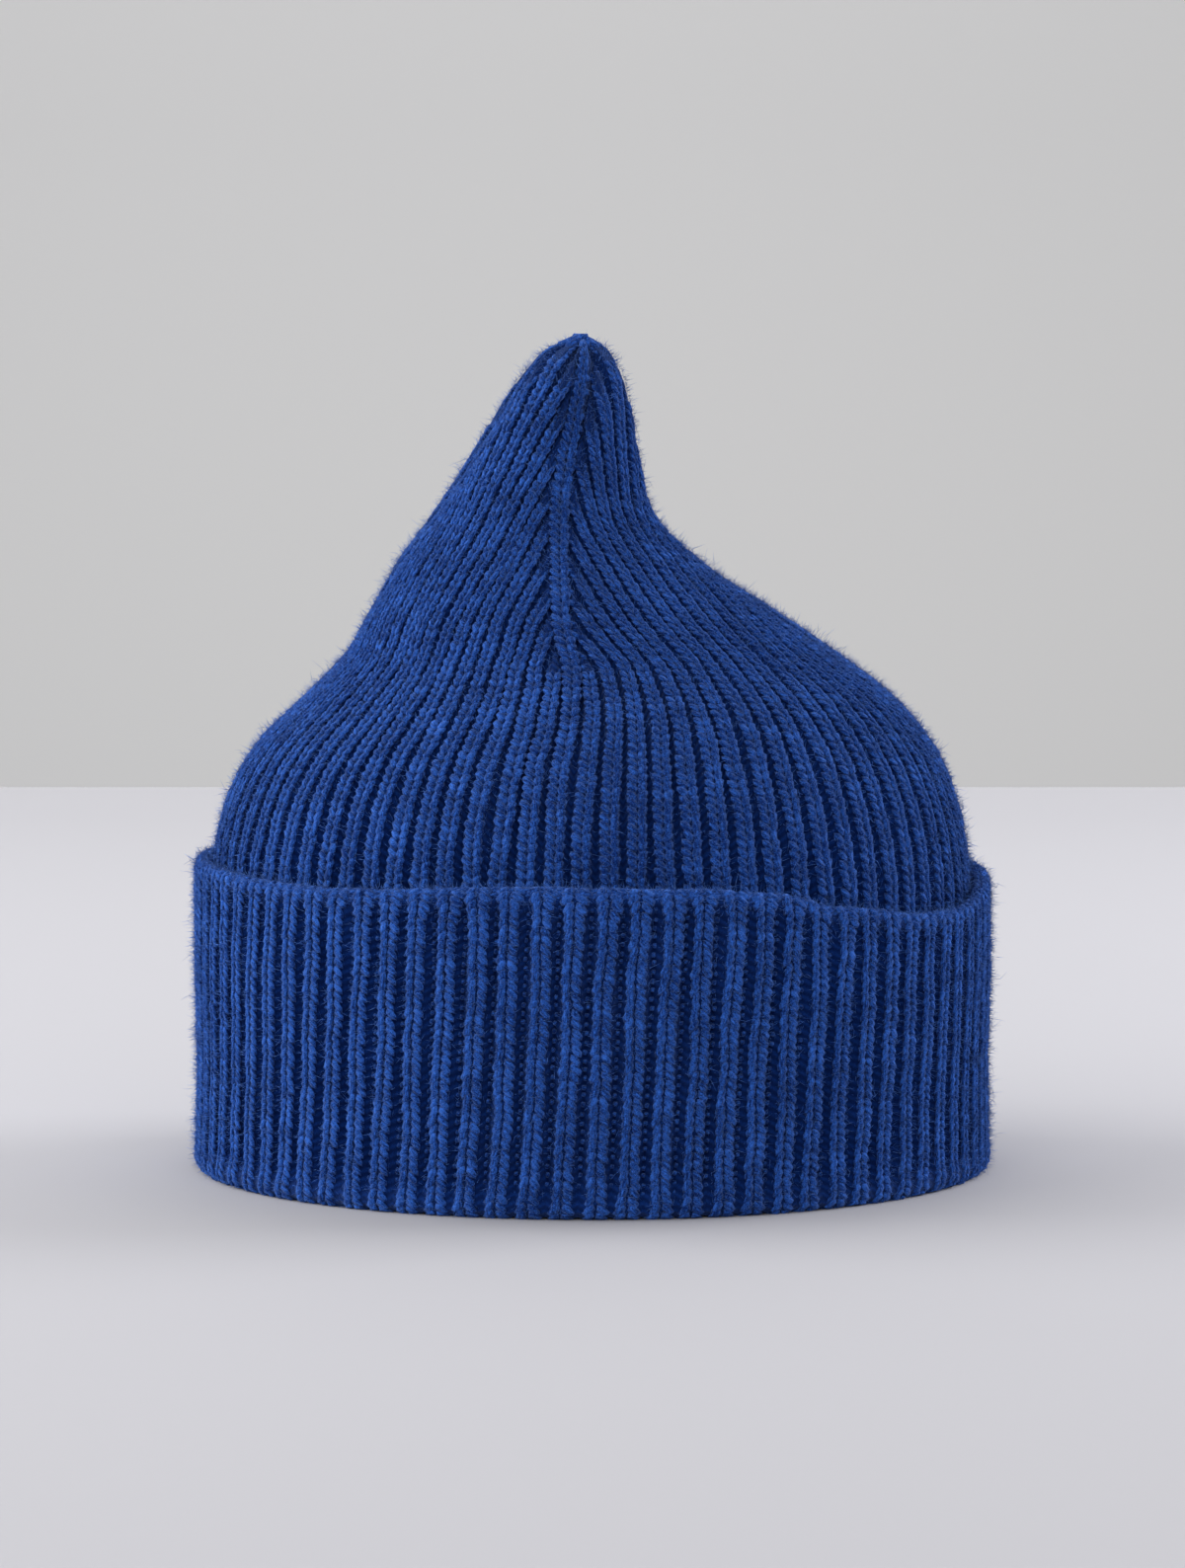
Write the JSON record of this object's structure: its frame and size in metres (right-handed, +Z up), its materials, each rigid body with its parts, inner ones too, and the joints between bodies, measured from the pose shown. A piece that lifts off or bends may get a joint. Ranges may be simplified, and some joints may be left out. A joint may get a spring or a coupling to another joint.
{
  "type": "knit beanie",
  "caption": "Rib-knit beanie with a high turned-up cuff and a crown closed in gores to a soft, leaning point, hollow and open below for the head.",
  "frame": {"origin": "on the surface that the hat stands on, under the middle of the cuff", "axes": "+Z up, from the open edge to the point; -Y is the hat's front as pictured; +X to the right as seen from the front, and the point leans to -X"},
  "size_m": [0.183, 0.1868, 0.19],
  "materials": {
    "crown_knit": "soft, slightly hairy rib knit of blue wool",
    "cuff_knit": "soft, slightly hairy rib knit of blue wool, turned up so that its other face shows"
  },
  "bodies": {
    "root": {"crown": "crown_knit", "cuff": "cuff_knit"}
  },
  "joints": []
}
